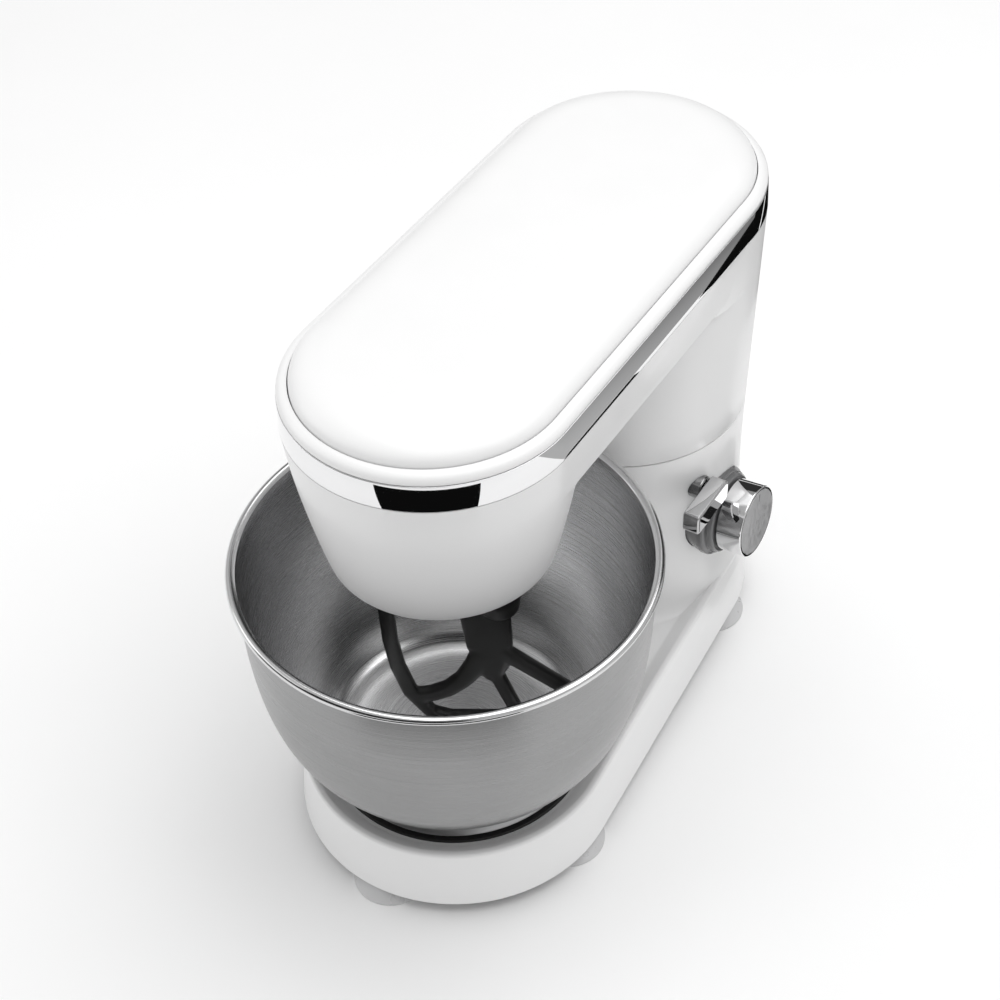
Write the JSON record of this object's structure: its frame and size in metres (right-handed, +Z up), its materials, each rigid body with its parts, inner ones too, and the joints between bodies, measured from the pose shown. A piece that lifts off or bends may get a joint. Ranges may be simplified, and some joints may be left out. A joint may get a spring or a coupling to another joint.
{
  "type": "stand mixer",
  "caption": "Tilt-head kitchen stand mixer with steel mixing bowl, planetary flat beater, chrome band, speed knob and head lock lever.",
  "frame": {"origin": "middle of the footprint, on the surface the feet stand on", "axes": "+Z up; -Y points from the column to the bowl, the long way of the machine; +X is the side with the speed knob and the lock lever"},
  "size_m": [0.22, 0.372, 0.3134],
  "materials": {
    "white_plastic": "high gloss",
    "chrome": "mirror chrome plating",
    "bowl_steel": "satin stainless steel, bright rolled rim",
    "zinc_steel": "zinc plated steel",
    "bright_steel": "ground steel",
    "black_plastic": "satin black",
    "grey_plastic": "satin dark grey",
    "foot_rubber": "pale translucent rubber",
    "black_rubber": "matt black rubber",
    "knob_face": "spun satin disc",
    "circuit_board": "solder mask",
    "copper": "lacquered copper windings",
    "nylon": "natural nylon"
  },
  "bodies": {
    "base": {"base_housing": "white_plastic", "base_plate": "grey_plastic", "base_screw_1": "zinc_steel", "base_screw_2": "zinc_steel", "base_screw_3": "zinc_steel", "base_screw_4": "zinc_steel", "foot_front": "foot_rubber", "foot_right": "foot_rubber", "foot_left": "foot_rubber", "foot_rear_right": "foot_rubber", "foot_rear_left": "foot_rubber", "bowl_seat": "black_plastic", "knob_bezel": "grey_plastic", "speed_switch": "black_plastic", "lever_collar": "chrome", "control_board": "circuit_board", "cord_gland": "black_rubber", "hinge_bracket_right": "zinc_steel", "hinge_bracket_left": "zinc_steel", "hinge_pin": "bright_steel"},
    "speed_knob": {"speed_knob": "chrome", "knob_face": "knob_face", "knob_shaft": "bright_steel"},
    "lock_lever": {"lock_lever": "chrome", "lever_shaft": "bright_steel", "lock_cam": "zinc_steel"},
    "head": {"head_shell": "white_plastic", "chrome_band": "chrome", "cover_rim": "white_plastic", "top_cover": "white_plastic", "head_frame": "zinc_steel", "column_cover": "white_plastic", "gear_case": "zinc_steel", "ring_gear": "nylon", "drive_belt": "black_rubber", "hinge_barrel": "zinc_steel", "lock_tongue": "zinc_steel", "motor_stator": "zinc_steel", "main_bearing_low": "bright_steel", "main_bearing_high": "bright_steel", "motor_bracket_low": "zinc_steel", "motor_bracket_high": "zinc_steel", "motor_bearing_low": "bright_steel", "motor_bearing_high": "bright_steel", "brush_right": "black_plastic", "brush_left": "black_plastic"},
    "rotor": {"motor_shaft": "bright_steel", "motor_pulley": "zinc_steel", "armature": "copper", "cooling_fan": "nylon"},
    "planet_carrier": {"planet_carrier": "black_plastic", "main_shaft": "bright_steel", "large_pulley": "nylon"},
    "tool": {"tool_shaft": "bright_steel", "planet_gear": "zinc_steel", "drive_pin": "bright_steel", "flat_beater": "black_plastic"},
    "bowl": {"mixing_bowl": "bowl_steel", "bowl_foot": "bowl_steel"}
  },
  "joints": [
    {"name": "head_tilt", "type": "hinge", "parent": "base", "child": "head", "pos_m": [0, 0.158, 0.176], "axis": [-1, 0, 0], "range_deg": [0, 35]},
    {"name": "speed_knob_turn", "type": "hinge", "parent": "base", "child": "speed_knob", "pos_m": [0.0925, 0.09795, 0.1035], "axis": [0.9975, 0, 0.071], "range_deg": [-200, 40]},
    {"name": "lock_lever_turn", "type": "hinge", "parent": "base", "child": "lock_lever", "pos_m": [0.0627, 0.0804, 0.1322], "axis": [-1, 0, 0], "range_deg": [0, 45]},
    {"name": "carrier_spin", "type": "hinge", "parent": "head", "child": "planet_carrier", "pos_m": [0, -0.076, 0.21], "axis": [0, 0, 1], "continuous": true},
    {"name": "tool_spin", "type": "hinge", "parent": "planet_carrier", "child": "tool", "pos_m": [0.01992, -0.05929, 0.2], "axis": [0, 0, 1], "continuous": true},
    {"name": "rotor_spin", "type": "hinge", "parent": "head", "child": "rotor", "pos_m": [0, 0.108, 0.22], "axis": [0, 0, 1], "continuous": true},
    {"name": "bowl_twist", "type": "hinge", "parent": "base", "child": "bowl", "pos_m": [0, -0.076, 0.0415], "axis": [0, 0, 1], "range_deg": [0, 25]}
  ],
  "couplings": [
    {"joint": "tool_spin", "follows": "carrier_spin", "ratio": -3.1667},
    {"joint": "rotor_spin", "follows": "carrier_spin", "ratio": 3.6267}
  ]
}
